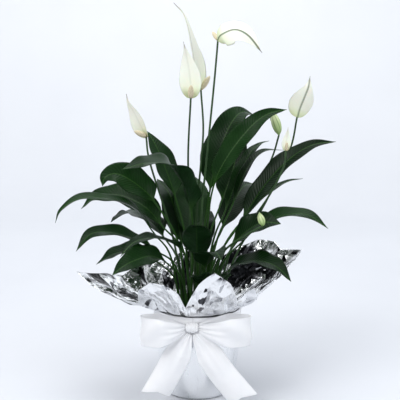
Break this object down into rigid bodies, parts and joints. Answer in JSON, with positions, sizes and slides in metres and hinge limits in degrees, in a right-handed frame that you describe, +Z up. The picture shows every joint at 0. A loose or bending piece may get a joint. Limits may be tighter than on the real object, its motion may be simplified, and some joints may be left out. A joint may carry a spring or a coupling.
{
  "type": "potted peace lily",
  "caption": "Peace lily with arching leaves, white hooded flowers and buds in a round pot wrapped in silver foil and tied with a white satin bow",
  "frame": {"origin": "centre of the flat foot of the wrapped pot, on the surface that it stands on", "axes": "+Z up, -Y towards the bow at the front, +X to the right as seen from the front"},
  "size_m": [0.4658, 0.3586, 0.6718],
  "materials": {
    "pot": "thin moulded nursery pot, matt black",
    "compost": "moist peat compost; leather stands in for packed organic matter of about its density",
    "crown": "fleshy crown of the plant at the compost's surface",
    "leaf": "living leaf, dark green, glossy above and duller below",
    "flower_stem": "living flower stem, mid green, satin",
    "spathe": "living white spathe, soft satin, green along its back",
    "spadix": "cream spadix, matt and finely knobbed",
    "bud": "rolled young spathe, light green",
    "foil": "silver metallised film, mirror bright and crinkled",
    "ribbon": "white satin ribbon"
  },
  "bodies": {
    "root": {"nursery_pot": "pot", "compost": "compost", "root_crown": "crown", "leaf_01": "leaf", "leaf_02": "leaf", "leaf_03": "leaf", "leaf_04": "leaf", "leaf_05": "leaf", "leaf_06": "leaf", "leaf_07": "leaf", "leaf_08": "leaf", "leaf_09": "leaf", "leaf_10": "leaf", "leaf_11": "leaf", "leaf_12": "leaf", "leaf_13": "leaf", "leaf_14": "leaf", "leaf_15": "leaf", "leaf_16": "leaf", "leaf_17": "leaf", "leaf_18": "leaf", "leaf_19": "leaf", "leaf_20": "leaf", "leaf_21": "leaf", "leaf_22": "leaf", "leaf_23": "leaf", "leaf_24": "leaf", "leaf_25": "leaf", "leaf_26": "leaf", "leaf_27": "leaf", "leaf_28": "leaf", "flower_1_stem": "flower_stem", "flower_1_spathe": "spathe", "flower_1_spadix": "spadix", "flower_2_stem": "flower_stem", "flower_2_spathe": "spathe", "flower_2_spadix": "spadix", "flower_3_stem": "flower_stem", "flower_3_spathe": "spathe", "flower_3_spadix": "spadix", "flower_4_stem": "flower_stem", "flower_4_spathe": "spathe", "flower_4_spadix": "spadix", "flower_5_stem": "flower_stem", "flower_5_spathe": "spathe", "flower_5_spadix": "spadix", "flower_6_stem": "flower_stem", "flower_6_spathe": "spathe", "flower_6_spadix": "spadix", "bud_1_stem": "flower_stem", "bud_1_spathe": "bud", "bud_2_stem": "flower_stem", "bud_2_spathe": "bud", "foil_wrap": "foil", "ribbon_band": "ribbon", "bow_knot": "ribbon", "bow_loop_left": "ribbon", "bow_loop_right": "ribbon", "ribbon_tail_left": "ribbon", "ribbon_tail_right": "ribbon"}
  },
  "joints": []
}
